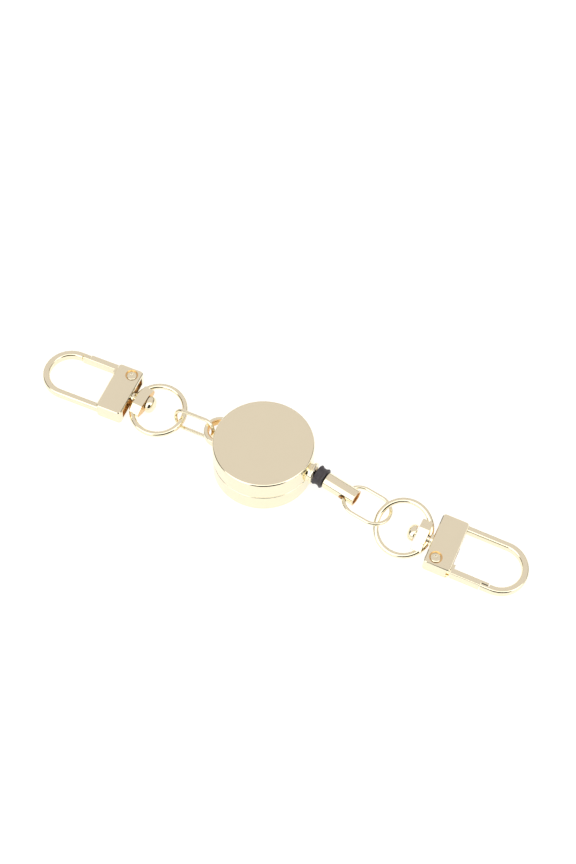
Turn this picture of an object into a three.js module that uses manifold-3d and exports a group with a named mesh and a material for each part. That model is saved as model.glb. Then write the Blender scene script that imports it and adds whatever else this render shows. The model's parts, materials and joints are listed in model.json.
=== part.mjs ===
// Retractable reel in a round metal case, with a swivel clasp chained to each side.
// Millimetres, +Z up. The origin is the centre of the case's flat back, which rests on the
// surface; the cord leaves the case along +X.
import * as THREE from "three";
import { mergeVertices } from "three/addons/utils/BufferGeometryUtils.js";
import Module from "manifold-3d";

const wasm = await Module();
wasm.setup();

const DEG = Math.PI / 180;

// ---- driving dimensions ----
const CASE_R = 15; // outer radius of the round case
const CASE_H = 13; // back face to front face
const EDGE_R = 0.8; // rounding of both rims
const WALL = 0.9; // side wall of both shells
const FLOOR = 1.0; // flat face of both shells
const SEAM_Z = 6.4; // where the two shells meet
const SEAM_GAP = 0.2;
const GAP = 0.3; // between pieces that touch

const POST_R = 2.2; // centre post that the spool turns on
const SPOOL_R = 12.2; // both spool flanges
const DRUM_R = 9.4; // the cord winds on this
const WOUND_R = 11.9; // full cord pack
const WOUND_HALF = 1.6; // half its height
const SPRING_TURNS = 7;
const STRIP = 0.25; // thickness of the spring strip

const CORD_R = 0.45;
const NOZZLE_Z = 6.6;
const NOZZLE_R = 3.0; // boss that the cord leaves through
const LIP_R = 3.3;
const LIP_X = [15.75, 16.5];
// Where the loose cord end starts, and how it lies turned away from the outlet.
const CORD_END = { at: [16.1, 0.16, 6.97], turn: [-10.6, 3.4, 0] };
const COLLAR_R = 3.1;
const COLLAR_S = [1.1, 4.0]; // along the loose end
const TUBE_R = 2.5; // ferrule
const TUBE_WALL = 0.6;
const TUBE_S = [4.3, 14.9];
const CROSS_HOLE_S = 11.6;
const CROSS_HOLE_R = 1.3;

const LOOP = { r: 4.9, width: 1.5, half: 1.3, at: 15.0, turn: 172.5 }; // eye on the case's left

const WIRE_R = 0.55; // both chain links
const RING_R = 8.05; // O-ring, to the middle of its wire
const RING_WIRE = 0.85;
const LUG = { x0: -2.55, x1: 0.7, half: 4.8, flat: 2.2, thick: 2.0, edge: 0.7, bore: 1.4 };
const RING_AT = -6.85; // the O-ring's centre, from the clasp's own origin

const BODY = { x0: 2.3, x1: 10.45, half: 8.45, thick: 2.65 }; // clasp body
const HOOK = { bar: 2.1, height: 2.7, turn: 23.1, lap0: 20.0, lap1: 22.4 };
const PIVOT = { x: 5.2, y: -5.85 };
const PIN_R = 0.95;
const GATE = { y0: -8.4, y1: -6.35, half: 1.6 };

// Where each free piece lies at rest: its position, then its turns about Z, Y and X in degrees.
const LEFT_CLASP = { at: [-43.1, 4.6, 2.65], turn: [180, 0, 0] };
const LEFT_RING = { at: [-43.1, 4.6, 2.65], turn: [173.5, 0, -8] };
const LEFT_LINK = { at: [-23.68, 2.5, 4.86], turn: [-9.9, -14.8, 69.5], size: [15.3, 6.95] };
const RIGHT_RING = { at: [53.6, -5.6, 4.414], turn: [-1.327, 2.515, 25.636] };
const RIGHT_CLASP = { at: [53.6, -5.6, 4.35], turn: [1, 5.2, 3] };
const RIGHT_LINK = { at: [34.442, -3.177, 5.568], turn: [-7.512, 5.484, -6.135], size: [15.711, 11.156] };

// ---- materials ----
const finish = (color, roughness, metalness) =>
  new THREE.MeshStandardMaterial({ color, roughness, metalness });
const gold = finish(0xe6d6b4, 0.08, 1);
const rubber = finish(0x1c1a1f, 0.7, 0);
const plastic = finish(0xe9e6dc, 0.4, 0);
const steel = finish(0x8f9296, 0.3, 1);
const brass = finish(0xb48a4a, 0.3, 1);
const cord = finish(0x17161a, 0.8, 0);

// ---- solids ----
// A closed three.js geometry as a solid, turned the right way out.
function solid(geometry) {
  const bare = geometry.clone();
  bare.deleteAttribute("normal");
  bare.deleteAttribute("uv");
  const merged = mergeVertices(bare, 1e-4);
  const vertProperties = new Float32Array(merged.attributes.position.array);
  const triVerts = new Uint32Array(merged.index.array);
  const made = new wasm.Manifold(new wasm.Mesh({ numProp: 3, vertProperties, triVerts }));
  if (made.volume() > 0) return made;
  for (let i = 0; i < triVerts.length; i += 3) {
    [triVerts[i + 1], triVerts[i + 2]] = [triVerts[i + 2], triVerts[i + 1]];
  }
  return new wasm.Manifold(new wasm.Mesh({ numProp: 3, vertProperties, triVerts }));
}

function mesh(name, shape, material) {
  const { vertProperties, triVerts } = shape.getMesh();
  const geometry = new THREE.BufferGeometry();
  geometry.setAttribute("position", new THREE.BufferAttribute(new Float32Array(vertProperties), 3));
  geometry.setIndex(new THREE.BufferAttribute(new Uint32Array(triVerts), 1));
  geometry.computeVertexNormals();
  const made = new THREE.Mesh(geometry, material);
  made.name = name;
  return made;
}

// A turned piece: [radius, height] points of its section, about +Z, or along +X.
function turned(points, segments = 48, along = "z") {
  const section = points.map(([r, h]) => new THREE.Vector2(r, h));
  const lathe = new THREE.LatheGeometry(section, segments);
  return solid(along === "x" ? lathe.rotateZ(-Math.PI / 2) : lathe.rotateX(Math.PI / 2));
}

// A tube's section between two radii and two heights, as a closed outline.
const ring = (r0, r1, h0, h1) => [[r0, h0], [r1, h0], [r1, h1], [r0, h1], [r0, h0]];

const box = (x0, x1, y0, y1, z0, z1) =>
  solid(
    new THREE.BoxGeometry(x1 - x0, y1 - y0, z1 - z0).translate(
      (x0 + x1) / 2, (y0 + y1) / 2, (z0 + z1) / 2,
    ),
  );

const cylinder = (r, length, segments = 24) =>
  solid(new THREE.CylinderGeometry(r, r, length, segments).rotateX(Math.PI / 2));

function roundedRect(width, height, r) {
  const [x, y] = [width / 2, height / 2];
  const shape = new THREE.Shape();
  shape.absarc(x - r, y - r, r, 0, Math.PI / 2);
  shape.absarc(-x + r, y - r, r, Math.PI / 2, Math.PI);
  shape.absarc(-x + r, -y + r, r, Math.PI, 1.5 * Math.PI);
  shape.absarc(x - r, -y + r, r, 1.5 * Math.PI, 2 * Math.PI);
  shape.closePath();
  return shape;
}

// A wire or bar of the given section, swept along a curve.
const swept = (section, path, steps) =>
  solid(new THREE.ExtrudeGeometry(section, { steps, extrudePath: path, curveSegments: 2 }));

function roundSection(r, sides) {
  const points = [];
  for (let i = 0; i < sides; i++) {
    const a = (2 * Math.PI * i) / sides;
    points.push(new THREE.Vector2(r * Math.cos(a), r * Math.sin(a)));
  }
  return new THREE.Shape(points);
}

class PointCurve extends THREE.Curve {
  constructor(pointAt) {
    super();
    this.pointAt = pointAt;
  }
  getPoint(t, target = new THREE.Vector3()) {
    return target.set(...this.pointAt(t));
  }
}

function placed({ at, turn }) {
  const group = new THREE.Group();
  group.position.set(...at);
  group.rotation.set(turn[2] * DEG, turn[1] * DEG, turn[0] * DEG, "ZYX");
  return group;
}

// ---- the case ----
function caseLoop(grow = 0) {
  const { r, width, half } = LOOP;
  return turned(ring(r - width - grow, r + grow, -half - grow, half + grow), 40)
    .translate([LOOP.at, 0, SEAM_Z])
    .rotate([0, 0, LOOP.turn]);
}

function shell(z0, z1) {
  const [face, lip] = z0 === 0 ? [0, z1] : [z1, z0];
  const inward = Math.sign(lip - face);
  const points = [[0, face]];
  for (let i = 0; i <= 4; i++) {
    const a = (i * Math.PI) / 8;
    points.push([
      CASE_R - EDGE_R + EDGE_R * Math.sin(a),
      face + inward * EDGE_R * (1 - Math.cos(a)),
    ]);
  }
  points.push([CASE_R, lip], [CASE_R - WALL, lip]);
  points.push([CASE_R - WALL, face + inward * FLOOR], [0, face + inward * FLOOR]);
  const nozzleHole = cylinder(NOZZLE_R - 0.4 + GAP, 8, 32)
    .rotate([0, 90, 0])
    .translate([CASE_R, 0, NOZZLE_Z]);
  return turned(points, 48).subtract(caseLoop(0.35)).subtract(nozzleHole);
}

function loopPiece() {
  const anchorX = SPOOL_R + 0.3;
  const tieHalf = LOOP.r - 0.3;
  const tie = box(anchorX, anchorX + 0.6, -tieHalf, tieHalf, -LOOP.half, LOOP.half)
    .translate([0, 0, SEAM_Z])
    .rotate([0, 0, LOOP.turn]);
  const outside = box(anchorX, 30, -10, 10, 0, CASE_H).rotate([0, 0, LOOP.turn]);
  return caseLoop().intersect(outside).add(tie);
}

function nozzle() {
  const [x0, x1] = LIP_X;
  const inner = SPOOL_R + 0.8;
  const neck = NOZZLE_R - 0.4;
  const profile = [
    [2.2, inner], [3.3, inner], [3.3, inner + 0.5], [neck, inner + 0.5], [neck, 13.9],
    [NOZZLE_R, 13.9], [NOZZLE_R, x0], [LIP_R, x0], [LIP_R, x1], [2.2, x1], [2.2, inner],
  ];
  const wall = turned(ring(CASE_R - WALL - 0.15, CASE_R + 0.15, 0, CASE_H), 96);
  const collar = turned(ring(neck, 6, 12, 17), 32, "x").translate([0, 0, NOZZLE_Z]);
  return turned(profile, 32, "x").translate([0, 0, NOZZLE_Z]).subtract(wall.intersect(collar));
}

function nozzleBush() {
  const x0 = SPOOL_R + 1.3;
  const x1 = LIP_X[1] - 0.1;
  const profile = [
    [1.6, x0], [2.0, x0], [2.0, x1], [1.6, x1], [1.2, x1 - 0.5], [1.2, x0 + 0.7], [1.6, x0],
  ];
  return turned(profile, 24, "x").translate([0, 0, NOZZLE_Z]);
}

// ---- the reel inside ----
const centrePost = () =>
  turned([[0, FLOOR + 0.1], [3.6, FLOOR + 0.1], [3.6, 1.6], [POST_R, 1.6], [POST_R, 9.9],
    [0.95, 9.9], [0.95, 7.4], [0, 7.4]], 32)
    .subtract(box(-0.2, 0.2, -3, 3, 1.7, 6.1));

const postScrew = () =>
  turned([[0, 7.8], [0.75, 7.8], [0.75, 10.4], [2.3, 10.4], [2.3, 10.8], [1.7, 11.3], [0, 11.3]], 32)
    .subtract(box(-3, 3, -0.25, 0.25, 10.9, 12));

const retainingWasher = () => turned(ring(1.0, 4.2, 10.0, 10.3), 32);

function spool() {
  const top = SEAM_Z + WOUND_HALF + 0.2;
  const bottom = SEAM_Z - WOUND_HALF - 0.2;
  const wellRoof = 6.6;
  return turned([
    [POST_R + 0.15, wellRoof], [DRUM_R - 0.8, wellRoof], [DRUM_R - 0.8, 2.0], [DRUM_R, 2.0],
    [DRUM_R, bottom - 0.6], [SPOOL_R, bottom - 0.6], [SPOOL_R, bottom], [DRUM_R, bottom],
    [DRUM_R, top], [DRUM_R - 0.8, top], [DRUM_R - 0.8, 7.4], [3.4, 7.4], [3.4, 9.8],
    [POST_R + 0.15, 9.8], [POST_R + 0.15, wellRoof],
  ], 36);
}

const spoolPlate = () => {
  const z = SEAM_Z + WOUND_HALF + 0.3;
  return turned([[4.2, z], [SPOOL_R, z], [SPOOL_R, z + 0.6], [4.2, z + 0.6], [4.2, z]], 36);
};

const woundCord = () =>
  turned(ring(DRUM_R + 0.1, WOUND_R, SEAM_Z - WOUND_HALF, SEAM_Z + WOUND_HALF), 36);

const springCover = () => turned(ring(POST_R + 0.15, DRUM_R - 0.95, 1.85, 2.15), 40);

// A flat strip wound from the slot in the post out to the spool's well.
function powerSpring() {
  const [r0, r1] = [POST_R + 0.45, DRUM_R - 1.15];
  const [z0, z1] = [2.5, 6.2];
  const steps = 16 * SPRING_TURNS;
  const edge = (offset) => {
    const points = [];
    for (let i = 0; i <= steps; i++) {
      const a = (2 * Math.PI * SPRING_TURNS * i) / steps;
      const r = r0 + ((r1 - r0) * i) / steps + offset;
      points.push(new THREE.Vector2(r * Math.cos(a), r * Math.sin(a)));
    }
    return points;
  };
  const outline = [...edge(STRIP / 2), ...edge(-STRIP / 2).reverse()];
  const coil = new THREE.ExtrudeGeometry(new THREE.Shape(outline), {
    depth: z1 - z0,
    bevelEnabled: false,
  });
  return solid(coil).translate([0, 0, z0]);
}

// ---- the cord's visible end ----
// A point on the loose end's axis, this far from where it starts.
function cordEndPoint(s) {
  const group = placed(CORD_END);
  group.updateMatrixWorld(true);
  return new THREE.Vector3(s, 0, 0).applyMatrix4(group.matrixWorld);
}

function cordLead() {
  const tangent = Math.acos((WOUND_R - CORD_R) / (SPOOL_R + 0.9));
  const r = WOUND_R + CORD_R + 0.2;
  const onEnd = (s) => cordEndPoint(s).toArray();
  const route = [
    [r * Math.cos(tangent), -r * Math.sin(tangent), SEAM_Z],
    [12.3, -2.6, SEAM_Z],
    [12.85, -0.95, SEAM_Z + 0.1],
    [14.1, -0.05, NOZZLE_Z],
    [15.6, 0, NOZZLE_Z + 0.3],
    onEnd(1.2),
    onEnd(2.4),
    onEnd(TUBE_S[0] + 0.9),
  ].map((p) => new THREE.Vector3(...p));
  return swept(roundSection(CORD_R, 8), new THREE.CatmullRomCurve3(route), 22);
}

function rubberCollar() {
  const [s0, s1] = COLLAR_S;
  const waist = COLLAR_R - 0.4;
  const profile = [[0.85, s0]];
  for (const [r, s] of [[COLLAR_R - 0.25, s0], [COLLAR_R, s0 + 0.25], [COLLAR_R, s0 + 0.6],
    [waist, s0 + 1.0], [waist, s1 - 1.0], [COLLAR_R, s1 - 0.6], [COLLAR_R, s1 - 0.25],
    [COLLAR_R - 0.25, s1], [0.85, s1], [0.85, s0]]) profile.push([r, s]);
  return turned(profile, 32, "x");
}

const cordBead = () => solid(new THREE.SphereGeometry(1.25, 16, 10)).translate([TUBE_S[0] + 2.4, 0, 0]);

function ferrule() {
  const [s0, s1] = TUBE_S;
  const inner = TUBE_R - TUBE_WALL;
  const profile = [[0.8, s0], [TUBE_R - 0.3, s0], [TUBE_R, s0 + 0.3], [TUBE_R, s1], [inner, s1],
    [inner, s0 + 1.0], [0.8, s0 + 1.0], [0.8, s0]];
  const hole = cylinder(CROSS_HOLE_R, 8, 20).rotate([90, 0, 0]).translate([CROSS_HOLE_S, 0, 0]);
  return turned(profile, 36, "x").subtract(hole);
}

// An oval of round wire: a torus with its halves moved apart, so that straight sides join them.
function wireOval(length, width) {
  const [around, sides] = [24, 8];
  const bend = width / 2 - WIRE_R;
  const torus = new THREE.TorusGeometry(bend, WIRE_R, sides, around);
  torus.rotateZ(Math.PI / around);
  const position = torus.getAttribute("position");
  for (let i = 0; i < position.count; i++) {
    const x = position.getX(i);
    position.setX(i, x + (Math.sign(x) * (length - width)) / 2);
  }
  return solid(torus);
}

// ---- swivel clasps: built with the swivel pin's axis along X and the hook towards +X ----
function swivelRing() {
  const { x0, x1, half, flat, thick, edge, bore } = LUG;
  const hexagon = [[-half, -edge], [-flat, -thick], [flat, -thick], [half, -edge], [half, edge],
    [flat, thick], [-flat, thick], [-half, edge]];
  const shape = new THREE.Shape(hexagon.map(([y, z]) => new THREE.Vector2(y, z)));
  const block = new THREE.ExtrudeGeometry(shape, { depth: x1 - x0, bevelEnabled: false });
  const lug = solid(block.rotateX(Math.PI / 2).rotateZ(Math.PI / 2)).translate([x0, 0, 0]);
  const torus = new THREE.TorusGeometry(RING_R, RING_WIRE, 8, 32);
  const inside = box(x0, 3, -4.2, 4.2, -1.5, 1.5);
  const hole = cylinder(bore, 8, 20).rotate([0, 90, 0]);
  return solid(torus).translate([RING_AT, 0, 0]).subtract(inside).add(lug).subtract(hole);
}

const swivelPin = () =>
  turned([[0, -5.3], [1.3, -5.2], [2.2, -4.7], [2.6, -4.0], [2.6, -3.3], [2.2, -3.0], [1.0, -3.0],
    [1.0, 1.4], [1.9, 1.4], [1.9, 3.0], [1.0, 3.3], [1.0, 6.0], [0, 6.0]], 24, "x");

function claspBody() {
  const { x0, x1, half, thick } = BODY;
  const bevel = 0.5;
  const outline = roundedRect(x1 - x0 - 2 * bevel, 2 * (half - bevel), 0.5);
  const block = new THREE.ExtrudeGeometry(outline, {
    depth: 2 * (thick - bevel),
    bevelThickness: bevel,
    bevelSize: bevel,
    bevelSegments: 2,
    curveSegments: 2,
  });
  block.translate((x0 + x1) / 2, 0, -(thick - bevel));

  const barY = half - HOOK.bar / 2;
  const inBody = x1 - 0.9;
  const straight = HOOK.turn - inBody;
  const bend = Math.PI * barY;
  const nose = HOOK.turn - HOOK.lap0;
  const total = straight + bend + nose;
  const path = new PointCurve((t) => {
    const s = t * total;
    if (s < straight) return [inBody + s, barY, 0];
    if (s > straight + bend) return [HOOK.turn - (s - straight - bend), -barY, 0];
    const a = (s - straight) / barY;
    return [HOOK.turn + barY * Math.sin(a), barY * Math.cos(a), 0];
  });
  const bar = swept(roundedRect(HOOK.height, HOOK.bar, 0.75), path, 34);
  const lap = box(HOOK.lap0 - 1, HOOK.lap1, -half + HOOK.bar / 2, -4, -3, 3);

  const slot = box(3.25, x1 + 1, -7.75, -2.5, -1.75, 1.75).add(
    box(7.2, x1 + 1, -7.75, 1.0, -1.75, 1.75),
  );
  const gateWay = box(x1 - 0.9, x1 + 1, -half - 1, -7, -1.75, 1.75);
  const channel = box(x0 - 1, x0 + 1.1, -6.6, 6.6, -1.6, 1.6);
  const neckRoom = cylinder(2.2, 3, 28).rotate([0, 90, 0]).translate([x0, 0, 0]);
  const pinBore = cylinder(1.2, 8, 20).rotate([0, 90, 0]).translate([2.3, 0, 0]);
  const rivetBore = cylinder(PIN_R + 0.2, 8, 20).translate([PIVOT.x, PIVOT.y, 0]);
  const rivetSeat = cylinder(1.95, 8, 28).subtract(cylinder(3, 2 * (thick - 0.45), 28))
    .translate([PIVOT.x, PIVOT.y, 0]);
  return solid(block).add(bar.subtract(lap))
    .subtract(slot).subtract(gateWay).subtract(channel).subtract(neckRoom)
    .subtract(pinBore).subtract(rivetBore).subtract(rivetSeat);
}

function gatePin() {
  const t = BODY.thick;
  return turned([[0, -t], [0.9, -t + 0.03], [1.5, -t + 0.2], [1.5, -t + 0.3], [PIN_R, -t + 0.3],
    [PIN_R, t - 0.3], [1.5, t - 0.3], [1.5, t - 0.2], [0.9, t - 0.03], [0, t]], 24)
    .translate([PIVOT.x, PIVOT.y, 0]);
}

function gate() {
  const { y0, y1, half } = GATE;
  const innerHalf = (y0 + y1) / 2;
  const root = -0.1; // the knuckle is low, so that the spring sits above it
  const knuckle = cylinder(1.75, root + half, 28).translate([PIVOT.x, PIVOT.y, (root - half) / 2]);
  const arm = box(PIVOT.x, 9.2, -7.45, -5.2, -half, root);
  const riser = box(8.6, 11.3, -7.45, -5.2, -half, half);
  const bar = solid(
    new THREE.ExtrudeGeometry(roundedRect(y1 - y0, 2 * half, 0.4), {
      depth: HOOK.lap1 - 0.3 - (BODY.x1 + 0.3),
      bevelEnabled: false,
      curveSegments: 2,
    }).rotateX(Math.PI / 2).rotateZ(Math.PI / 2),
  ).translate([BODY.x1 + 0.3, innerHalf, 0]);
  const lap = box(HOOK.lap0 - 0.3, HOOK.lap1 + 1, y0 - 1, innerHalf + 0.15, -3, 3);
  const bore = cylinder(PIN_R + 0.15, 8, 20).translate([PIVOT.x, PIVOT.y, 0]);
  return knuckle.add(arm).add(riser).add(bar.subtract(lap)).subtract(bore);
}

// A torsion spring round the rivet: one leg on the gate's riser, one on the body.
function gateSpring() {
  const [wire, coilR, turns] = [0.17, 1.5, 2];
  const z0 = 0.25;
  const pitch = 0.5;
  const path = new PointCurve((t) => {
    const leg = 0.16;
    const [cx, cy] = [PIVOT.x, PIVOT.y];
    if (t < leg) return [cx + 3.0 * (1 - t / leg), cy + coilR, z0];
    if (t > 1 - leg) {
      const u = (t - 1 + leg) / leg;
      const a = Math.PI / 2 + 2 * Math.PI * turns;
      return [cx + coilR * Math.cos(a) - u * 0.9, cy + coilR * Math.sin(a) + u * 0.9, z0 + pitch * turns];
    }
    const u = (t - leg) / (1 - 2 * leg);
    const a = Math.PI / 2 + 2 * Math.PI * turns * u;
    return [cx + coilR * Math.cos(a), cy + coilR * Math.sin(a), z0 + pitch * turns * u];
  });
  return swept(roundSection(wire, 6), path, 40);
}

// ---- assembly ----
const reel = new THREE.Group();
reel.add(
  mesh("back_shell", shell(0, SEAM_Z - SEAM_GAP / 2), gold),
  mesh("front_shell", shell(SEAM_Z + SEAM_GAP / 2, CASE_H), gold),
  mesh("case_loop", loopPiece(), gold),
  mesh("outlet_nozzle", nozzle(), gold),
  mesh("nozzle_bush", nozzleBush(), brass),
  mesh("centre_post", centrePost(), steel),
  mesh("post_screw", postScrew(), steel),
  mesh("retaining_washer", retainingWasher(), steel),
  mesh("spool", spool(), plastic),
  mesh("spool_plate", spoolPlate(), plastic),
  mesh("spring_cover", springCover(), steel),
  mesh("power_spring", powerSpring(), steel),
  mesh("wound_cord", woundCord(), cord),
  mesh("cord_lead", cordLead(), cord),
);

const cordEnd = placed(CORD_END);
cordEnd.add(
  mesh("rubber_collar", rubberCollar(), rubber),
  mesh("cord_bead", cordBead(), brass),
  mesh("ferrule", ferrule(), gold),
);
reel.add(cordEnd);

for (const [name, place] of [["left_link", LEFT_LINK], ["right_link", RIGHT_LINK]]) {
  const link = placed(place);
  link.add(mesh(name, wireOval(...place.size), gold));
  reel.add(link);
}

for (const [side, claspPlace, ringPlace] of [
  ["left", LEFT_CLASP, LEFT_RING],
  ["right", RIGHT_CLASP, RIGHT_RING],
]) {
  const ringGroup = placed(ringPlace);
  ringGroup.add(mesh(side + "_swivel_ring", swivelRing(), gold));
  const clasp = placed(claspPlace);
  clasp.add(
    mesh(side + "_swivel_pin", swivelPin(), gold),
    mesh(side + "_clasp_body", claspBody(), gold),
    mesh(side + "_gate", gate(), gold),
    mesh(side + "_gate_pin", gatePin(), gold),
    mesh(side + "_gate_spring", gateSpring(), steel),
  );
  reel.add(ringGroup, clasp);
}

export default reel;
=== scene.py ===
"""A retractable badge reel with a swivel clasp chained to each side, built round its CAD frame.

Pieces are modelled in millimetres in their own frames, then set in place in metres and ridden
on a body.
"""

import json
import math

import bmesh
import bpy
from mathutils import Euler, Matrix, Vector


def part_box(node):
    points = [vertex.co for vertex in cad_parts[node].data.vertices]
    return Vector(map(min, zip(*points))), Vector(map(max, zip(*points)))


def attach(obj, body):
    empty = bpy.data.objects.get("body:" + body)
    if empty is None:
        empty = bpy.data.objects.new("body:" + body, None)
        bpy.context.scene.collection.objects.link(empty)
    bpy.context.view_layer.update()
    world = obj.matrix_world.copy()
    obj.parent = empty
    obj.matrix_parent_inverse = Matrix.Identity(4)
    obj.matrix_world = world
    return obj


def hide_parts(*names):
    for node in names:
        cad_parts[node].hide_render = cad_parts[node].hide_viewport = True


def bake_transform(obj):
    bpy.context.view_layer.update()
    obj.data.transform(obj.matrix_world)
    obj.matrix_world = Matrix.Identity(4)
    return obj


bl_info = {
    "name": "Badge reel pieces",
    "version": (1, 0, 0),
    "blender": (4, 5, 0),
    "location": "View3D > Sidebar > Badge reel",
    "description": "Makes the metal, rubber and cord pieces of a retractable badge reel",
    "category": "Add Mesh",
}

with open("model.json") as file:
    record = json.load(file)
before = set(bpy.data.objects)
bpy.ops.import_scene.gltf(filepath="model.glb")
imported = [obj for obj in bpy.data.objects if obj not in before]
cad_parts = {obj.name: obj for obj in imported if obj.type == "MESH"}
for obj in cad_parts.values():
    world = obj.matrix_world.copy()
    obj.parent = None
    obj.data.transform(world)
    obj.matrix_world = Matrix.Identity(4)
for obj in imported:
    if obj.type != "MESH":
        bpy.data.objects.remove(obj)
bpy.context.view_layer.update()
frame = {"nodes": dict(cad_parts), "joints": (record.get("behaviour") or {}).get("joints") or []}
NODES = frame["nodes"]
JOINTS = {joint["name"]: joint for joint in frame["joints"]}

MM = 0.001


def node_box(node):
    """Lowest and highest corner of a CAD node, in millimetres."""
    low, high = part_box(node)
    return low / MM, high / MM


CASE_HIGH = node_box("front_shell")[1]
NOZZLE_LOW, NOZZLE_HIGH = node_box("outlet_nozzle")
NOZZLE_MIDDLE = (NOZZLE_HIGH.z + NOZZLE_LOW.z) / 2

# Places of the free pieces at rest: position in millimetres, turns about Z, Y and X in degrees.
LEFT_RING = ((-43.1, 4.6, 2.65), (173.5, 0.0, -8.0))
RIGHT_RING = ((53.6, -5.6, 4.414), (-1.327, 2.515, 25.636))
LEFT_LINK = ((-23.68, 2.5, 4.86), (-9.9, -14.8, 69.5))
RIGHT_LINK = ((34.442, -3.177, 5.568), (-7.512, 5.484, -6.135))
EYE_TURN = 172.5  # degrees round the case from the cord's outlet
TOUCHING = 0.002  # millimetres; points nearer than this are one


# ---------------------------------------------------------------- sizes and colours to change
class CaseSettings(bpy.types.PropertyGroup):
    radius: bpy.props.FloatProperty(
        name="Case radius",
        description="Outer radius of the round case, in mm",
        default=CASE_HIGH.x,
    )
    height: bpy.props.FloatProperty(
        name="Case height", description="From back face to front face, in mm", default=CASE_HIGH.z
    )
    rim: bpy.props.FloatProperty(
        name="Rim rounding", description="Radius of both rims, in mm", default=0.8
    )
    wall: bpy.props.FloatProperty(
        name="Wall", description="Thickness of the pressed metal, in mm", default=0.9
    )
    seam: bpy.props.FloatProperty(
        name="Seam height", description="Where the shells meet, in mm", default=6.4
    )


class ChainSettings(bpy.types.PropertyGroup):
    wire: bpy.props.FloatProperty(
        name="Link wire", description="Radius of the links' wire, in mm", default=0.55
    )
    left_link: bpy.props.FloatVectorProperty(
        name="Left link",
        description="Length and width outside, in mm",
        size=2,
        default=(15.3, 6.95),
    )
    right_link: bpy.props.FloatVectorProperty(
        name="Right link",
        description="Length and width outside, in mm",
        size=2,
        default=(15.711, 11.156),
    )
    ring_radius: bpy.props.FloatProperty(
        name="O-ring radius", description="To the middle of its wire, in mm", default=8.05
    )
    ring_wire: bpy.props.FloatProperty(
        name="O-ring wire", description="Radius of the O-ring's wire, in mm", default=0.85
    )


class FinishSettings(bpy.types.PropertyGroup):
    gold: bpy.props.FloatVectorProperty(
        name="Gold",
        description="Colour of the plating",
        subtype="COLOR",
        default=(0.95, 0.88, 0.655),
    )
    gold_roughness: bpy.props.FloatProperty(
        name="Gold roughness",
        description="Polish of the plating",
        subtype="FACTOR",
        default=0.07,
    )
    # Painted shade: a darker orange gold standing in for the shade and gold-on-gold reflections in
    # holes, channels and on the lug's end faces.
    painted_shade: bpy.props.FloatVectorProperty(
        name="Recesses",
        description="Colour deep in holes and channels",
        subtype="COLOR",
        default=(0.85, 0.56, 0.26),
    )
    rubber: bpy.props.FloatVectorProperty(
        name="Rubber",
        description="Colour of the collar",
        subtype="COLOR",
        default=(0.05, 0.045, 0.052),
    )
    cord: bpy.props.FloatVectorProperty(
        name="Cord",
        description="Colour of the braided cord",
        subtype="COLOR",
        default=(0.014, 0.013, 0.016),
    )
    background: bpy.props.FloatProperty(
        name="Background", description="Brightness of the pale surroundings", default=1.12
    )


# ---------------------------------------------------------------- shader maths
class Value:
    """A node's output that Python arithmetic works on."""

    def __init__(self, shader, socket):
        self.shader = shader
        self.socket = socket

    def _math(self, operation, *operands):
        return self.shader.node("ShaderNodeMath", {"operation": operation}, list(operands))

    def __add__(self, other):
        return self._math("ADD", self, other)

    __radd__ = __add__

    def __mul__(self, other):
        return self._math("MULTIPLY", self, other)

    __rmul__ = __mul__

    def clamp(self):
        """Holds the value between nothing and one."""
        return self.shader.node("ShaderNodeClamp", {}, [self, 0.0, 1.0])


class Shader:
    """The nodes of one material or world."""

    def __init__(self, owner):
        owner.use_nodes = True
        self.tree = owner.node_tree
        self.tree.nodes.clear()

    def node(self, kind, settings=None, values=(), output=0):
        """Adds a node: its settings, then its sockets' values or links, by place or by name."""
        made = self.tree.nodes.new(kind)
        for key, value in (settings or {}).items():
            if key == "stops":
                ramp = made.color_ramp
                while len(ramp.elements) > 1:
                    ramp.elements.remove(ramp.elements[-1])
                for i, (place, colour) in enumerate(value):
                    stop = ramp.elements[0] if i == 0 else ramp.elements.new(place)
                    stop.position = place
                    stop.color = (*colour, 1.0) if len(colour) == 3 else colour
            else:
                setattr(made, key, value)
        pairs = values.items() if isinstance(values, dict) else enumerate(values)
        for socket, value in pairs:
            if isinstance(value, Value):
                self.tree.links.new(value.socket, made.inputs[socket])
            elif value is not None:
                made.inputs[socket].default_value = value
        return Value(self, made.outputs[output]) if made.outputs else made

    def object_place(self):
        """Where a point is on its object."""
        return self.node("ShaderNodeTexCoord", output=3)

    def noise(self, place, scale, detail=3.0):
        """Cloudy noise, with scale cells to the metre."""
        sockets = {"Vector": place, "Scale": scale, "Detail": detail}
        return self.node("ShaderNodeTexNoise", {}, sockets)

    def ramp(self, factor, stops):
        """A colour for each place along a value."""
        return self.node("ShaderNodeValToRGB", {"stops": stops}, [factor])

    def mix(self, factor, first, second):
        """Mixes two colours."""
        sockets = {0: factor, 6: colour(first), 7: colour(second)}
        return self.node("ShaderNodeMix", {"data_type": "RGBA"}, sockets, output=2)

    def bump(self, height, distance, strength):
        """Relief of a height, at most distance metres deep."""
        sockets = {"Strength": strength, "Distance": distance, "Height": height}
        return self.node("ShaderNodeBump", {}, sockets)

    def surface(self, **sockets):
        """A Principled surface; underscores in a socket's name stand for spaces."""
        named = {name.replace("_", " "): value for name, value in sockets.items()}
        made = self.node("ShaderNodeBsdfPrincipled", {}, named)
        self.node("ShaderNodeOutputMaterial", {}, {"Surface": made})


def colour(value):
    """What a colour socket takes: a link, or a colour with its alpha."""
    return value if isinstance(value, Value) else (*value[:3], 1.0)


def new_shader(name):
    """A new material and its empty node tree."""
    material = bpy.data.materials.new(name)
    return material, Shader(material)


def scaled(rgb, factor):
    """A colour made darker or lighter."""
    return tuple(min(1.0, c * factor) for c in rgb)


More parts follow.
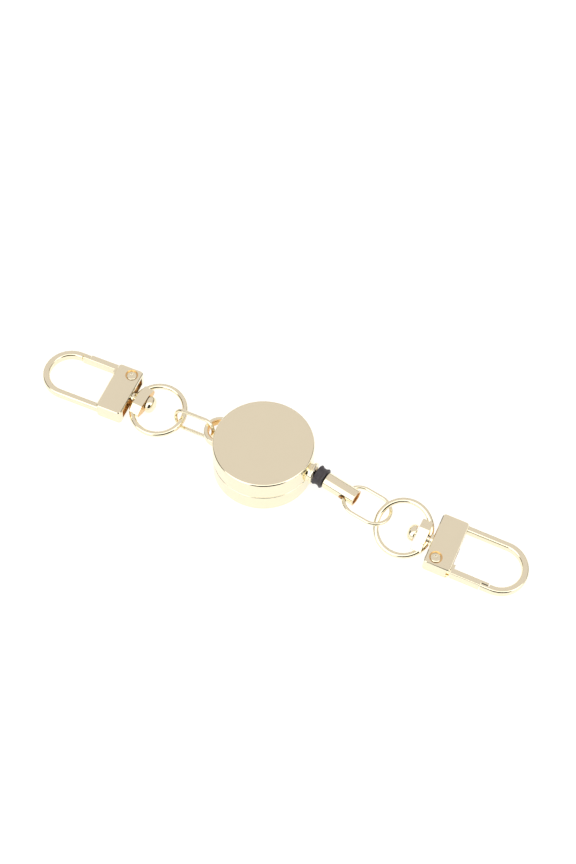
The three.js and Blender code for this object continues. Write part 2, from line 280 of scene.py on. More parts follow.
def gold_material(finish, name="pale_gold_plate", plating=None, roughness=None):
    """Polished plating: faint waviness, fine polishing marks and a slight change of tone."""
    plating = plating or finish.gold
    roughness = roughness or finish.gold_roughness
    material, shader = new_shader(name)
    place = shader.object_place()
    cloud = shader.noise(place, 140.0, 4.0)
    grain = shader.noise(place, 2600.0, 2.0)
    drawn_out = {"Vector": place, "Scale": (5200.0, 700.0, 700.0)}
    streaks = shader.noise(shader.node("ShaderNodeMapping", {}, drawn_out), 1.0, 2.0)
    tone = shader.mix(cloud, scaled(plating, 0.985), scaled(plating, 1.012))
    waviness = shader.noise(place, 320.0, 2.0)
    height = waviness * 0.7 + grain * 0.1 + streaks * 0.06
    shader.surface(
        Base_Color=tone,
        Metallic=1.0,
        Roughness=roughness + cloud * 0.03 + streaks * 0.02,
        Normal=shader.bump(height, 0.00001, 0.35),
    )
    return material


def rubber_material(finish):
    """Moulded black rubber with a fine matt grain."""
    material, shader = new_shader("black_rubber")
    place = shader.object_place()
    grain = shader.noise(place, 5200.0, 4.0)
    cloud = shader.noise(place, 420.0, 3.0)
    shader.surface(
        Base_Color=shader.mix(cloud, scaled(finish.rubber, 0.8), scaled(finish.rubber, 1.5)),
        Roughness=0.42 + grain * 0.2,
        Normal=shader.bump(grain, 0.00003, 0.5),
    )
    return material


def cord_material(finish):
    """Braided cord: two crossing sets of strands."""
    material, shader = new_shader("braided_cord")
    place = shader.object_place()

    def strands(turn):
        """One set of strands, turned across the cord."""
        sockets = {"Vector": place, "Rotation": (0.0, 0.0, turn)}
        sockets = {"Vector": shader.node("ShaderNodeMapping", {}, sockets), "Scale": 900.0}
        return shader.node("ShaderNodeTexWave", {"wave_type": "BANDS"}, sockets, output=1)

    weave = strands(0.6) * strands(-0.6)
    fibres = shader.noise(place, 9000.0, 3.0)
    shader.surface(
        # Painted shade: the colour follows the weave's relief, darker in the grooves between the
        # strands.
        Base_Color=shader.mix(weave, scaled(finish.cord, 0.5), scaled(finish.cord, 2.4)),
        Roughness=0.75 + fibres * 0.15,
        Normal=shader.bump(weave + fibres * 0.3, 0.00008, 0.8),
    )
    return material


def steel_material():
    """Plain turned and rolled steel."""
    material, shader = new_shader("plain_steel")
    place = shader.object_place()
    grain = shader.noise(place, 2400.0, 3.0)
    cloud = shader.noise(place, 260.0, 3.0)
    shader.surface(
        Base_Color=shader.mix(cloud, (0.44, 0.45, 0.47), (0.6, 0.61, 0.63)),
        Metallic=1.0,
        Roughness=0.24 + grain * 0.16,
        Normal=shader.bump(grain, 0.00001, 0.4),
    )
    return material


def plastic_material():
    """Moulded off-white plastic with a fine spark-eroded texture."""
    material, shader = new_shader("moulded_plastic")
    place = shader.object_place()
    texture = shader.noise(place, 3400.0, 4.0)
    cloud = shader.noise(place, 180.0, 3.0)
    shader.surface(
        Base_Color=shader.mix(cloud, (0.78, 0.76, 0.69), (0.86, 0.84, 0.78)),
        Roughness=0.38 + texture * 0.14,
        Normal=shader.bump(texture, 0.00002, 0.4),
    )
    return material


def brass_material():
    """Turned brass with faint tool rings."""
    material, shader = new_shader("turned_brass")
    place = shader.object_place()
    grain = shader.noise(place, 3000.0, 3.0)
    shader.surface(
        Base_Color=shader.mix(grain, (0.62, 0.43, 0.19), (0.78, 0.58, 0.3)),
        Metallic=1.0,
        Roughness=0.2 + grain * 0.15,
        Normal=shader.bump(grain, 0.00001, 0.4),
    )
    return material


MAKERS = {
    "gold": gold_material,
    # The painted-shade gold: the same plating in a darker orange, and rougher.
    "painted_shade": lambda finish: gold_material(finish, "gold_painted_shade", finish.painted_shade, 0.25),
    "rubber": rubber_material,
    "cord": cord_material,
    "steel": lambda finish: steel_material(),
    "plastic": lambda finish: plastic_material(),
    "brass": lambda finish: brass_material(),
}
made_materials = {}


def finish_of(name):
    """The material of that name, made once."""
    if name not in made_materials:
        made_materials[name] = MAKERS[name](bpy.context.scene.reel_finish)
    return made_materials[name]


# ---------------------------------------------------------------- modelling helpers
def deselect():
    """Leaves edit mode and selects nothing."""
    if bpy.context.object and bpy.context.object.mode != "OBJECT":
        bpy.ops.object.mode_set(mode="OBJECT")
    bpy.ops.object.select_all(action="DESELECT")


def focus(piece):
    """Selects one piece alone and makes it active."""
    deselect()
    piece.select_set(True)
    bpy.context.view_layer.objects.active = piece


def named(name):
    """Names the primitive that was just added."""
    piece = bpy.context.object
    piece.name = name
    piece.data.name = name
    return piece


def edit(piece):
    """Goes into edit mode on one piece."""
    focus(piece)
    bpy.ops.object.mode_set(mode="EDIT")
    bpy.ops.mesh.select_mode(type="VERT")


def leave():
    """Goes back to object mode."""
    bpy.ops.object.mode_set(mode="OBJECT")


def pick(piece, verts=None, edges=None, faces=None):
    """Selects the vertices, edges or faces that pass a test of their place and direction."""
    mesh = bmesh.from_edit_mesh(piece.data)
    bpy.ops.mesh.select_all(action="DESELECT")
    kind = "VERT" if verts else "EDGE" if edges else "FACE"
    bpy.ops.mesh.select_mode(type=kind)
    if verts:
        for v in mesh.verts:
            v.select_set(verts(v.co))
    elif edges:
        for e in mesh.edges:
            a, b = e.verts
            e.select_set(edges((a.co + b.co) / 2, (b.co - a.co).normalized()))
    else:
        for f in mesh.faces:
            f.select_set(faces(f.calc_center_median(), f.normal))
    mesh.select_flush_mode()
    bmesh.update_edit_mesh(piece.data)


def put_outwards(piece):
    """Merges doubled points and points every face outwards."""
    edit(piece)
    bpy.ops.mesh.select_all(action="SELECT")
    bpy.ops.mesh.remove_doubles(threshold=TOUCHING)
    bpy.ops.mesh.normals_make_consistent(inside=False)
    leave()


def extrude(step):
    """Draws the selected faces or edges out by a step."""
    bpy.ops.mesh.extrude_region_move(TRANSFORM_OT_translate={"value": step})


def turned(name, outline, segments=96):
    """A piece turned about Z, drawn out ring by ring: outline is (radius, height) points.

    An outline that closes on itself gives a tube; any other is capped at both ends.
    """
    deselect()
    radius, height = outline[0]
    tube = outline[0] == outline[-1]
    bpy.ops.mesh.primitive_circle_add(
        vertices=segments,
        radius=radius,
        fill_type="NOTHING" if tube else "NGON",
        location=(0, 0, height),
    )
    piece = named(name)
    bpy.ops.object.transform_apply(location=True, rotation=False, scale=False)
    edit(piece)
    bpy.ops.mesh.select_all(action="SELECT")
    for next_radius, next_height in outline[1:]:
        extrude((0, 0, next_height - height))
        scale = next_radius / radius
        bpy.ops.transform.resize(value=(scale, scale, 1), center_override=(0, 0, next_height))
        radius, height = next_radius, next_height
    leave()
    put_outwards(piece)
    return piece


def arc(across, along, radius, start, end, steps=5):
    """Points of an arc in an outline, round (across, along), with its angles in degrees."""
    angles = [math.radians(start + (end - start) * i / steps) for i in range(steps + 1)]
    return [(across + radius * math.cos(a), along + radius * math.sin(a)) for a in angles]


def block(name, low, high):
    """A block between two corners."""
    deselect()
    middle = [(a + b) / 2 for a, b in zip(low, high)]
    bpy.ops.mesh.primitive_cube_add(size=1, location=middle)
    piece = named(name)
    piece.scale = [b - a for a, b in zip(low, high)]
    bpy.ops.object.transform_apply(location=True, rotation=False, scale=True)
    return piece


def rod(name, radius, start, end, segments=48):
    """A round rod between two points."""
    deselect()
    start, end = Vector(start), Vector(end)
    run = end - start
    bpy.ops.mesh.primitive_cylinder_add(
        vertices=segments,
        radius=radius,
        depth=run.length,
        location=(start + end) / 2,
        rotation=run.to_track_quat("Z", "Y").to_euler(),
    )
    piece = named(name)
    bpy.ops.object.transform_apply(location=True, rotation=True, scale=False)
    return piece


def bevel_edges(piece, test, width, segments=3):
    """Rounds the edges that pass a test of their middle and direction."""
    edit(piece)
    pick(piece, edges=test)
    bpy.ops.mesh.bevel(offset=width, segments=segments, affect="EDGES", profile=0.5)
    leave()


def cut(piece, operation, *tools):
    """Joins, or cuts away, each tool from the piece, and removes the tool."""
    for tool in tools:
        focus(piece)
        bpy.ops.object.modifier_add(type="BOOLEAN")
        modifier = piece.modifiers[-1]
        modifier.operation = operation
        modifier.solver = "EXACT"
        modifier.object = tool
        bpy.ops.object.modifier_apply(modifier=modifier.name)
        bpy.data.objects.remove(tool)
    return piece


def paint_shade(piece, test):
    """Paints shade on a gold piece: faces that pass a test of their middle and normal get the
    darker orange gold of painted shade.
    """
    for finish in ("gold", "painted_shade"):
        piece.data.materials.append(finish_of(finish))
    edit(piece)
    pick(piece, faces=test)
    piece.active_material_index = 1
    bpy.ops.object.material_slot_assign()
    leave()


def wire_ring(name, radius, wire):
    """A ring of round wire, flat in X and Y."""
    deselect()
    bpy.ops.mesh.primitive_torus_add(
        major_radius=radius, minor_radius=wire, major_segments=96, minor_segments=20
    )
    return named(name)


def soften(piece, angle=35.0):
    """Smooth faces, sharp corners, and flat faces that stay flat beside their rounded edges."""
    focus(piece)
    bpy.ops.object.shade_smooth_by_angle(angle=math.radians(angle))
    bpy.ops.object.modifier_add(type="WEIGHTED_NORMAL")
    modifier = piece.modifiers[-1]
    modifier.keep_sharp = True
    bpy.ops.object.modifier_apply(modifier=modifier.name)


def settle(piece, place, body, nodes, finish="gold", angle=35.0):
    """Puts a finished piece in place in metres, gives it its finish and rides it on its body."""
    piece.matrix_world = place @ Matrix.Scale(MM, 4)
    focus(piece)
    bpy.ops.object.transform_apply(location=True, rotation=True, scale=True)
    soften(piece, angle)
    if not piece.data.materials:
        piece.data.materials.append(finish_of(finish))
    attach(piece, body)
    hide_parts(*nodes)


def copied(piece, name):
    """A copy of a piece with a mesh of its own."""
    copy = piece.copy()
    copy.data = piece.data.copy()
    copy.name = copy.data.name = name
    bpy.context.scene.collection.objects.link(copy)
    return copy


def place_of(position, turns):
    """A place from a position in millimetres and turns about Z, Y and X in degrees."""
    about_z, about_y, about_x = (math.radians(t) for t in turns)
    turn = Euler((about_x, about_y, about_z), "XYZ").to_matrix().to_4x4()
    return Matrix.Translation(Vector(position) * MM) @ turn


def frame_place(origin, x_axis, z_axis):
    """A place whose X and Z axes are given, with its origin in metres."""
    x = Vector(x_axis).normalized()
    y = Vector(z_axis).cross(x).normalized()
    z = x.cross(y)
    turn = Matrix((x, y, z)).transposed().to_4x4()
    return Matrix.Translation(Vector(origin)) @ turn


Z_TO_X = Matrix.Rotation(math.pi / 2, 4, "Y")
FERRULE_SWIVEL = JOINTS["ferrule_swivel"]
CORD_END = frame_place(FERRULE_SWIVEL["pos_m"], FERRULE_SWIVEL["axis"], (0, 0, 1))


def clasp_place(side):
    """The clasp's own frame: X along its swivel pin, Z along its gate's rivet."""
    swivel, gate = JOINTS[side + "_clasp_swivel"], JOINTS[side + "_gate_hinge"]
    return frame_place(swivel["pos_m"], swivel["axis"], gate["axis"])


# ---------------------------------------------------------------- the case
def shell_outline(case, face, lip, floor):
    """A cup from the middle of its flat face, round its rim and lip, to the middle of its floor."""
    inward = math.copysign(1, lip - face)
    cap, crease, lip_edge = 2.0, 0.06, 0.3
    flat, inner = case.radius - case.rim, case.radius - case.wall
    rim = arc(flat, 0, case.rim, 90, 0, 8)
    mouth = arc(case.radius - lip_edge, 0, lip_edge, 0, 90, 5)
    return [
        (cap, face),
        (flat - crease, face),
        *[(r, face + inward * (case.rim - h)) for r, h in rim],
        *[(r, lip - inward * (lip_edge - h)) for r, h in mouth],
        (inner, lip),
        (inner, face + inward * floor),
        (cap, face + inward * floor),
    ]


class REEL_OT_case(bpy.types.Operator):
    """Make the two pressed half shells of the round case"""

    bl_idname = "reel.case"
    bl_label = "Case shells"

    def execute(self, context):
        case = context.scene.reel_case
        gap, floor, segments = 0.1, 1.0, 160
        for name, face, lip, node in (
            ("back_case", 0.0, case.seam - gap, "back_shell"),
            ("front_case", case.height, case.seam + gap, "front_shell"),
        ):
            shell = turned(name, shell_outline(case, face, lip, floor), segments)
            settle(shell, Matrix(), "case", [node])
        return {"FINISHED"}


class REEL_OT_eye(bpy.types.Operator):
    """Make the half-round eye on the case's left"""

    bl_idname = "reel.eye"
    bl_label = "Case eye"

    def execute(self, context):
        outer, inner, half, edge = 4.9, 3.4, 1.3, 0.45
        wall_at, sunk_in = 15.0, 2.5
        outline = [
            *arc(outer - edge, half - edge, edge, 0, 90),
            *arc(inner + edge, half - edge, edge, 90, 180),
            *arc(inner + edge, edge - half, edge, 180, 270),
            *arc(outer - edge, edge - half, edge, 270, 360),
        ]
        eye = turned("case_eye", [*outline, outline[0]])
        edit(eye)
        bpy.ops.mesh.select_all(action="SELECT")
        bpy.ops.mesh.bisect(
            plane_co=(-sunk_in, 0, 0), plane_no=(1, 0, 0), clear_inner=True, use_fill=True
        )
        leave()
        # Painted shade: the eye's inner faces get the darker orange gold.
        paint_shade(eye, lambda middle, normal: normal.xy.dot(middle.xy) < -0.5)
        spin = Matrix.Rotation(math.radians(EYE_TURN), 4, "Z")
        seat = Matrix.Translation(Vector((wall_at, 0, context.scene.reel_case.seam)) * MM)
        settle(eye, spin @ seat, "case", ["case_loop"])
        return {"FINISHED"}


class REEL_OT_nozzle(bpy.types.Operator):
    """Make the boss that the cord leaves through: flange, flared neck, groove and lip"""

    bl_idname = "reel.nozzle"
    bl_label = "Cord nozzle"

    def execute(self, context):
        lip = (NOZZLE_HIGH.z - NOZZLE_LOW.z) / 2
        bore, root, end = 2.2, NOZZLE_LOW.x, NOZZLE_HIGH.x
        flange_end, flare, flare_end, groove, lip_width = 14.5, 0.5, 15.05, 0.85, 0.68
        crisp, mouth, bore_edge = 0.12, 0.3, 0.25
        outline = [
            (bore, root),
            (lip, root),
            (lip, flange_end),
            *arc(lip, flare_end, flare, 240, 180, 5),
            (lip - flare, end - groove),
            *arc(lip - crisp, end - lip_width, crisp, 270, 360, 3),
            *arc(lip - mouth, end - mouth, mouth, 0, 90, 5),
            *arc(bore + bore_edge, end - bore_edge, bore_edge, 90, 180, 4),
            (bore, root),
        ]
        nozzle = turned("cord_nozzle", outline)
        seat = Matrix.Translation((0, 0, NOZZLE_MIDDLE * MM))
        settle(nozzle, seat @ Z_TO_X, "case", ["outlet_nozzle"])
        return {"FINISHED"}


# ---------------------------------------------------------------- the cord and its end
class REEL_OT_cord(bpy.types.Operator):
    """Make the cord from the spool, through the nozzle, to the ferrule"""

    bl_idname = "reel.cord"
    bl_label = "Cord"

    def execute(self, context):
        deselect()
        radius, seam = 0.45, context.scene.reel_case.seam
        low, _ = node_box("cord_lead")
        on_end = [CORD_END @ Vector((s * MM, 0, 0)) / MM for s in (1.2, 2.4, 5.0)]
        route = [
            (low.x + radius, low.y + 0.6, seam),
            (12.3, -2.6, seam),
            (12.85, -0.95, seam + 0.1),
            (14.1, -0.05, NOZZLE_MIDDLE),
            (15.6, 0.0, NOZZLE_MIDDLE + 0.3),
            *on_end,
        ]
        bpy.ops.curve.primitive_nurbs_path_add()
        cord = named("cord")
        spline = cord.data.splines[0]
        spline.points.add(len(route) - len(spline.points))
        for point, place in zip(spline.points, route):
            point.co = (*place, 1.0)
        spline.order_u = 4
        spline.use_endpoint_u = True
        spline.resolution_u = 24
        cord.data.bevel_depth = radius
        cord.data.bevel_resolution = 4
        cord.data.use_fill_caps = True
        focus(cord)
        bpy.ops.object.convert(target="MESH")
        cord = bpy.context.object
        put_outwards(cord)
        cord.matrix_world = Matrix.Scale(MM, 4)
        bpy.ops.object.transform_apply(location=True, rotation=True, scale=True)
        bpy.ops.object.shade_smooth_by_angle(angle=math.radians(60))
        cord.data.materials.clear()
        cord.data.materials.append(finish_of("cord"))
        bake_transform(cord)
        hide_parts("cord_lead")
        return {"FINISHED"}


class REEL_OT_cord_end(bpy.types.Operator):
    """Make the rubber collar and the ferrule at the cord's end"""

    bl_idname = "reel.cord_end"
    bl_label = "Collar and ferrule"

    def execute(self, context):
        rim, start, end, bore, edge = 3.1, 1.1, 4.0, 0.85, 0.3
        flange, waist, waist_at = 0.4, 1.5, 1.1
        outline = [
            (bore, start),
            *arc(rim - edge, start + edge, edge, 270, 360, 4),
            (rim, start + flange),
            *arc(rim + waist_at, (start + end) / 2, waist, 222, 138, 10),
            (rim, end - flange),
            *arc(rim - edge, end - edge, edge, 0, 90, 4),
            (bore, end),
            (bore, start),
        ]
        collar = turned("collar", outline)
        settle(collar, CORD_END @ Z_TO_X, "cord_end", ["rubber_collar"], "rubber", angle=50.0)

        tube, inner, start, end, bore = 2.5, 1.9, 4.3, 14.9, 0.8
        shoulder, floor, edge, hole, hole_at = 0.3, 1.0, 0.12, 1.3, 11.6
        outline = [
            (bore, start),
            *arc(tube - shoulder, start + shoulder, shoulder, 270, 360, 5),
            *arc(tube - edge, end - edge, edge, 0, 90, 3),
            *arc(inner + edge, end - edge, edge, 90, 180, 3),
            (inner, start + floor),
            (bore, start + floor),
            (bore, start),
        ]
        ferrule = turned("end_tube", outline)
        cut(ferrule, "DIFFERENCE", rod("hole_tool", hole, (0, -4, hole_at), (0, 4, hole_at)))
        # Painted shade: the faces inside the ferrule's outer wall get the darker orange gold.
        paint_shade(
            ferrule, lambda middle, normal: middle.xy.length < tube - 0.08 and middle.z > 5
        )
        settle(ferrule, CORD_END @ Z_TO_X, "ferrule", ["ferrule"])
        return {"FINISHED"}


# ---------------------------------------------------------------- the chain
class REEL_OT_links(bpy.types.Operator):
    """Make the two oval links of round wire"""

    bl_idname = "reel.links"
    bl_label = "Chain links"

    def execute(self, context):
        chain = context.scene.reel_chain
        for side, (length, width), place in (
            ("left", chain.left_link, LEFT_LINK),
            ("right", chain.right_link, RIGHT_LINK),
        ):
            link = wire_ring(side + "_chain_link", width / 2 - chain.wire, chain.wire)
            stretch = (length - width) / 2
            for way in (1, -1):
                edit(link)
                pick(link, verts=lambda co, way=way: co.x * way > 0.001)
                bpy.ops.transform.translate(value=(way * stretch, 0, 0))
                leave()
            settle(link, place_of(*place), side + "_link", [side + "_link"], angle=60.0)
        return {"FINISHED"}


class REEL_OT_rings(bpy.types.Operator):
    """Make the O-ring and its lug on each clasp"""

    bl_idname = "reel.rings"
    bl_label = "O-rings"

    def execute(self, context):
        chain = context.scene.reel_chain
        x0, x1, half, flat, thick, edge = -2.55, 0.7, 4.8, 2.2, 2.0, 0.7
        bore, ring_x = 1.4, -6.85
        lug = block("lug", (x0, -half, -edge), (x1, half, edge))
        for way in (1, -1):
            edit(lug)
            pick(lug, faces=lambda middle, normal, way=way: normal.z * way > 0.9)
            extrude((0, 0, way * (thick - edge)))
            bpy.ops.transform.resize(value=(1, flat / half, 1), center_override=(0, 0, 0))
            leave()
        put_outwards(lug)
        bevel_edges(lug, lambda middle, way: True, 0.14, 2)
        ring = wire_ring("o_ring", chain.ring_radius, chain.ring_wire)
        ring.location.x = ring_x
        focus(ring)
        bpy.ops.object.transform_apply(location=True, rotation=False, scale=False)
        cut(ring, "UNION", lug)
        cut(ring, "DIFFERENCE", rod("bore_tool", bore, (-4, 0, 0), (4, 0, 0)))
        # Painted reflection and shade: faces turned along the pin's line within the lug's width,
        # chiefly the lug's end faces, get the darker orange gold.
        paint_shade(
            ring, lambda middle, normal: abs(normal.x) > 0.9 and middle.yz.length < half
        )
        for side, place in (("left", LEFT_RING), ("right", RIGHT_RING)):
            made = copied(ring, side + "_o_ring")
            settle(made, place_of(*place), side + "_ring", [side + "_swivel_ring"], angle=28.0)
        bpy.data.objects.remove(ring)
        return {"FINISHED"}


# ---------------------------------------------------------------- the clasps
BODY_START, BODY_END, BODY_HALF, BODY_THICK = 2.3, 10.45, 8.45, 2.65
BAR, BAR_HEIGHT, BAR_EDGE = 2.1, 2.7, 0.75
HOOK_TURN, LAP_OUTER, LAP_INNER = 23.1, 20.0, 22.4
PIVOT_X, PIVOT_Y = 5.2, -5.85


def rivet_rod(name, radius, reach):
    """A rod along the rivet's line, as far above the middle as below."""
    return rod(name, radius, (PIVOT_X, PIVOT_Y, -reach), (PIVOT_X, PIVOT_Y, reach))


def hook_bar():
    """The fixed hook: a rounded bar led out of the body, round its bend and back to its nose."""
    deselect()
    middle, start = BODY_HALF - BAR / 2, BODY_END - 0.9
    bpy.ops.mesh.primitive_plane_add(size=1, rotation=(0, math.pi / 2, 0))
    hook = named("hook")
    bpy.ops.object.transform_apply(location=False, rotation=True, scale=False)
    edit(hook)
    bpy.ops.mesh.select_all(action="SELECT")
    bpy.ops.transform.resize(value=(1, BAR, BAR_HEIGHT))
    bpy.ops.mesh.bevel(offset=BAR_EDGE, segments=5, affect="VERTICES")
    bpy.ops.mesh.select_all(action="SELECT")
    bpy.ops.transform.translate(value=(start, middle, 0))
    extrude((HOOK_TURN - start, 0, 0))
    bpy.ops.mesh.spin(steps=40, angle=math.pi, center=(HOOK_TURN, 0, 0), axis=(0, 0, 1))
    extrude((LAP_OUTER - HOOK_TURN, 0, 0))
    leave()
    put_outwards(hook)
    lap = block("lap_tool", (LAP_OUTER - 1, -middle, -3), (LAP_INNER, -4, 3))
    return cut(hook, "DIFFERENCE", lap)


def clasp_body():
    """The clasp's block with its channel, slot and rivet seat, and its hook."""
    x0, x1, half, thick = BODY_START, BODY_END, BODY_HALF, BODY_THICK
    corner, edge, on_face = 1.0, 0.5, thick - 0.01
    neck, pin, rivet_hole, seat_radius, seat_depth = 2.2, 1.2, 1.15, 1.95, 0.45
    body = block("body", (x0, -half, -thick), (x1, half, thick))
    bevel_edges(body, lambda middle, way: abs(way.z) > 0.9, corner, 5)
    bevel_edges(body, lambda middle, way: abs(middle.z) > on_face and abs(way.z) < 0.1, edge, 3)
    cut(body, "UNION", hook_bar())
    seat = rivet_rod("seat_tool", seat_radius, 4)
    cut(seat, "DIFFERENCE", rivet_rod("seat_core", 3, thick - seat_depth))
    cut(
        body,
        "DIFFERENCE",
        block("slot_tool", (3.25, -7.75, -1.75), (x1 + 1, -2.5, 1.75)),
        block("spring_slot_tool", (7.2, -7.7, -1.7), (x1 + 1, 1.0, 1.7)),
        block("gate_way_tool", (x1 - 0.9, -half - 1, -1.72), (x1 + 1, -7, 1.72)),
        block("channel_tool", (x0 - 1, -6.6, -1.6), (x0 + 1.1, 6.6, 1.6)),
        rod("neck_tool", neck, (x0 - 1.5, 0, 0), (x0 + 1.5, 0, 0)),
        rod("pin_tool", pin, (x0 - 1.7, 0, 0), (x0 + 4, 0, 0)),
        rivet_rod("rivet_tool", rivet_hole, 5),
        seat,
    )

    def shaded_faces(middle, normal):
        """Where painted shade goes: inside the channel and slots, clear of the rounded corners, or
        in the rivet's seat.
        """
        across = abs(middle.y) < 7.8 and (abs(middle.y) < 7.4 or x0 + 1 < middle.x < x1 - 1)
        inside = across and x0 + 0.05 < middle.x < x1 - 0.05 and abs(middle.z) < 1.8
        from_rivet = math.hypot(middle.x - PIVOT_X, middle.y - PIVOT_Y)
        return inside or (from_rivet < 2 and abs(middle.z) < thick - 0.4)

    paint_shade(body, shaded_faces)
    return body


def gate_bar():
    """The sprung gate: a knuckle on the rivet, an arm, and the bar that closes the hook."""
    y0, y1, half, gap, root = -8.4, -6.35, 1.6, 0.3, -0.1
    knuckle_radius, bore, edge, tip_edge = 1.75, 1.1, 0.4, 0.12
    lap_at = (y0 + y1) / 2 + gap / 2
    bar = block("bar", (BODY_END + gap, y0, -half), (LAP_INNER - gap, y1, half))
    bevel_edges(bar, lambda middle, way: abs(way.x) > 0.9, edge, 4)
    lap = block("lap_tool", (LAP_OUTER - gap, y0 - 1, -3), (LAP_INNER + 1, lap_at, 3))
    cut(bar, "DIFFERENCE", lap)
    bevel_edges(bar, lambda middle, way: middle.x > LAP_INNER - gap - 0.01, tip_edge, 2)
    low, high = (PIVOT_X, PIVOT_Y, -half), (PIVOT_X, PIVOT_Y, root)
    knuckle = rod("knuckle", knuckle_radius, low, high)
    cut(knuckle, "UNION", block("arm", (PIVOT_X, -7.45, -half + 0.02), (9.2, -5.2, root - 0.02)))
    cut(knuckle, "UNION", block("riser", (8.6, -7.44, -half + 0.04), (11.3, -5.25, half - 0.04)))
    cut(bar, "UNION", knuckle)
    return cut(bar, "DIFFERENCE", rivet_rod("bore_tool", bore, 5))


def rivet():
    """A plain rivet with a low, dimpled dome at each end."""
    end, head, height, shank = BODY_THICK, 1.5, 0.3, 0.95
    dimple = [(0.1, end - 0.16), (0.42, end - 0.16), (0.5, end - 0.12), (0.58, end - 0.02)]
    angles = (0.46, 0.7, 1.0, 1.3, math.pi / 2)
    dome = [(head * math.sin(a), end - height * (1 - math.cos(a))) for a in angles]
    top = [*dimple, *dome]
    bottom = [(r, -z) for r, z in top]
    step = 0.01
    low, high = height - end - step, end - height - step
    outline = [*bottom, (shank, low), (shank, high), *reversed(top)]
    made = turned("rivet", outline, 48)
    made.location = (PIVOT_X, PIVOT_Y, 0)
    focus(made)
    bpy.ops.object.transform_apply(location=True, rotation=False, scale=False)
    return made


def swivel_pin():
    """The pin that joins the O-ring's lug and the clasp: domed head, shank and neck."""
    outline = [
        (0.25, -5.3),
        (1.0, -5.26),
        (1.6, -5.08),
        (2.1, -4.76),
        (2.45, -4.3),
        (2.6, -3.8),
        (2.6, -3.35),
        *arc(2.35, -3.25, 0.25, 0, 90, 4),
        (1.0, -3.0),
        (1.0, 1.4),
        (1.75, 1.4),
        (1.9, 1.55),
        (1.9, 2.9),
        (1.75, 3.05),
        (1.0, 3.3),
        (1.0, 6.0),
    ]
    pin = turned("pin", outline, 64)
    pin.matrix_world = Z_TO_X
    focus(pin)
    bpy.ops.object.transform_apply(location=True, rotation=True, scale=False)
    return pin


class REEL_OT_clasps(bpy.types.Operator):
    """Make both swivel clasps: body and hook, gate, rivet and swivel pin"""

    bl_idname = "reel.clasps"
    bl_label = "Swivel clasps"

    def execute(self, context):
        parts = {
            "clasp": (clasp_body(), "clasp", "clasp_body", 28.0),
            "gate_bar": (gate_bar(), "gate", "gate", 35.0),
            "rivet": (rivet(), "clasp", "gate_pin", 50.0),
            "pin": (swivel_pin(), "clasp", "swivel_pin", 40.0),
        }
        for side in ("left", "right"):
            place = clasp_place(side)
            for name, (model, body, node, angle) in parts.items():
                made = copied(model, f"{side}_{name}")
                settle(made, place, f"{side}_{body}", [f"{side}_{node}"], angle=angle)
        for model, *_ in parts.values():
            bpy.data.objects.remove(model)
        return {"FINISHED"}


# ---------------------------------------------------------------- what stays as the frame made it
INSIDE = {
    "steel": [
        "centre_post",
        "post_screw",
        "retaining_washer",
        "spring_cover",
        "power_spring",
        "left_gate_spring",
        "right_gate_spring",
    ],
    "plastic": ["spool", "spool_plate"],
    "brass": ["nozzle_bush", "cord_bead"],
    "cord": ["wound_cord"],
}


class REEL_OT_works(bpy.types.Operator):
    """Finish the works inside the case and the clasps"""

    bl_idname = "reel.works"
    bl_label = "Works inside"

    def execute(self, context):
        for finish, nodes in INSIDE.items():
            for node in nodes:
                NODES[node].data.materials.clear()
                NODES[node].data.materials.append(finish_of(finish))
        return {"FINISHED"}


# ---------------------------------------------------------------- the stage
AZIMUTH, ELEVATION = math.radians(24.0), math.radians(57.75)
AIM = Vector((0, 0, 0.006))
DISTANCE, LENS = 0.617, 87.15
SHIFT_X, SHIFT_Y = 0.0284, 0.0272
FLOOR_RADIUS, FLOOR_LEVEL = 3.0, -0.0002

# Round areas of the studio: azimuth from the camera's side, elevation, outer and inner edge.
BRIGHT_SIDE = (0, 0, 80, 74)
DARK_FRONT, DARK_LEFT, DARK_RIGHT = (8, 20, 35, 27), (-95, 8, 24, 17), (105, 6, 20, 14)
GREY, DARK, WHITE = (0.79, 0.738, 0.73), (0.035, 0.03, 0.025), (1.0, 1.0, 1.0)


def direction(azimuth, elevation):
    """A direction from its angles: round from the front to the right, and up."""
    level = math.cos(elevation)
    return (math.sin(azimuth) * level, -math.cos(azimuth) * level, math.sin(elevation))


def studio_world(background):
    """A bright side towards the camera, a greyer half beyond, and dark patches low down."""
    world = bpy.data.worlds.new("studio")
    bpy.context.scene.world = world
    shader = Shader(world)
    way = shader.node("ShaderNodeTexCoord")

    def near(azimuth, elevation, outer, inner):
        """One round soft-edged area; its azimuth is to the right of the camera's side."""
        about, up = AZIMUTH + math.radians(azimuth), math.radians(elevation)
        axis = direction(about, up)
        dot = {"operation": "DOT_PRODUCT"}
        limits = {
            "Value": shader.node("ShaderNodeVectorMath", dot, [way, axis], output=1),
            "From Min": math.cos(math.radians(outer)),
            "From Max": math.cos(math.radians(inner)),
        }
        return shader.node("ShaderNodeMapRange", {"interpolation_type": "SMOOTHSTEP"}, limits)

    height = shader.node("ShaderNodeSeparateXYZ", {}, [way], output=2)
    line = shader.ramp(
        height * 0.5 + 0.5,
        [
            (0.0, (0, 0, 0)),
            (0.495, (0, 0, 0)),
            (0.503, (1, 1, 1)),
            (0.545, (1, 1, 1)),
            (0.57, (0, 0, 0)),
        ],
    )
    bright = (background * 1.6, background * 1.6, background * 1.58)
    lit = shader.mix(near(*BRIGHT_SIDE), GREY, bright)
    dark = line + near(*DARK_FRONT) + near(*DARK_LEFT) + near(*DARK_RIGHT) * 0.7
    lit = shader.mix(dark.clamp(), lit, DARK)
    seen_directly = shader.node("ShaderNodeLightPath")
    tone = shader.mix(seen_directly, lit, WHITE)
    sky = shader.node("ShaderNodeBackground", {}, {"Color": tone, "Strength": 1.0})
    shader.node("ShaderNodeOutputWorld", {}, {"Surface": sky})


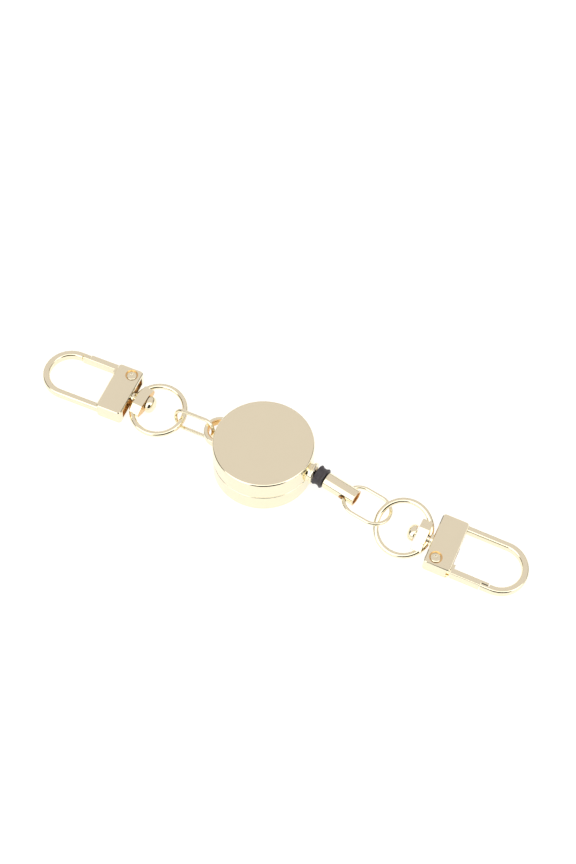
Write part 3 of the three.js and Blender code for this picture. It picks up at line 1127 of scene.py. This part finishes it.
class REEL_OT_stage(bpy.types.Operator):
    """Set the plain pale floor, the soft light and the camera"""

    bl_idname = "reel.stage"
    bl_label = "Stage"

    def execute(self, context):
        deselect()
        bpy.ops.mesh.primitive_circle_add(
            vertices=96, radius=FLOOR_RADIUS, fill_type="NGON", location=(0, 0, FLOOR_LEVEL)
        )
        floor = named("floor")
        material, shader = new_shader("pale_floor")
        grain = shader.noise(shader.object_place(), 60.0, 3.0)
        shader.surface(
            Base_Color=shader.mix(grain, (0.3, 0.3, 0.3), (0.32, 0.32, 0.32)),
            Roughness=0.9,
            Emission_Color=(1.0, 0.995, 0.985, 1.0),
            Emission_Strength=0.82,
        )
        floor.data.materials.append(material)
        studio_world(context.scene.reel_finish.background)
        back = Vector(direction(AZIMUTH, ELEVATION))
        deselect()
        bpy.ops.object.camera_add(location=AIM + back * DISTANCE)
        camera = context.object
        camera.rotation_mode = "QUATERNION"
        camera.rotation_quaternion = (-back).to_track_quat("-Z", "Y")
        camera.data.lens = LENS
        camera.data.shift_x, camera.data.shift_y = SHIFT_X, SHIFT_Y
        camera.data.clip_start, camera.data.clip_end = 0.01, 20.0
        context.scene.camera = camera
        context.scene.view_settings.view_transform = "Standard"
        return {"FINISHED"}


# ---------------------------------------------------------------- the add-on
class REEL_PT_panel(bpy.types.Panel):
    """Lists the reel's pieces and their sizes"""

    bl_label = "Badge reel"
    bl_idname = "REEL_PT_panel"
    bl_space_type = "VIEW_3D"
    bl_region_type = "UI"
    bl_category = "Badge reel"

    def draw(self, context):
        for operator in OPERATORS:
            self.layout.operator(operator.bl_idname)
        for group in SETTINGS:
            settings = getattr(context.scene, group)
            column = self.layout.column()
            for name in settings.bl_rna.properties.keys():
                if name not in ("rna_type", "name"):
                    column.prop(settings, name)


OPERATORS = (
    REEL_OT_stage,
    REEL_OT_case,
    REEL_OT_eye,
    REEL_OT_nozzle,
    REEL_OT_cord,
    REEL_OT_cord_end,
    REEL_OT_links,
    REEL_OT_rings,
    REEL_OT_clasps,
    REEL_OT_works,
)
SETTINGS = {"reel_case": CaseSettings, "reel_chain": ChainSettings, "reel_finish": FinishSettings}
CLASSES = (*SETTINGS.values(), *OPERATORS, REEL_PT_panel)


def register():
    """Registers the classes and hangs the settings on the scene."""
    for cls in CLASSES:
        bpy.utils.register_class(cls)
    for name, cls in SETTINGS.items():
        setattr(bpy.types.Scene, name, bpy.props.PointerProperty(type=cls))


def unregister():
    """Takes the settings off the scene and removes the classes."""
    for name in SETTINGS:
        delattr(bpy.types.Scene, name)
    for cls in reversed(CLASSES):
        bpy.utils.unregister_class(cls)


def main():
    """Makes every piece and the stage."""
    register()
    for operator in OPERATORS:
        group, name = operator.bl_idname.split(".")
        getattr(getattr(bpy.ops, group), name)()
    deselect()


if __name__ == "__main__":
    main()
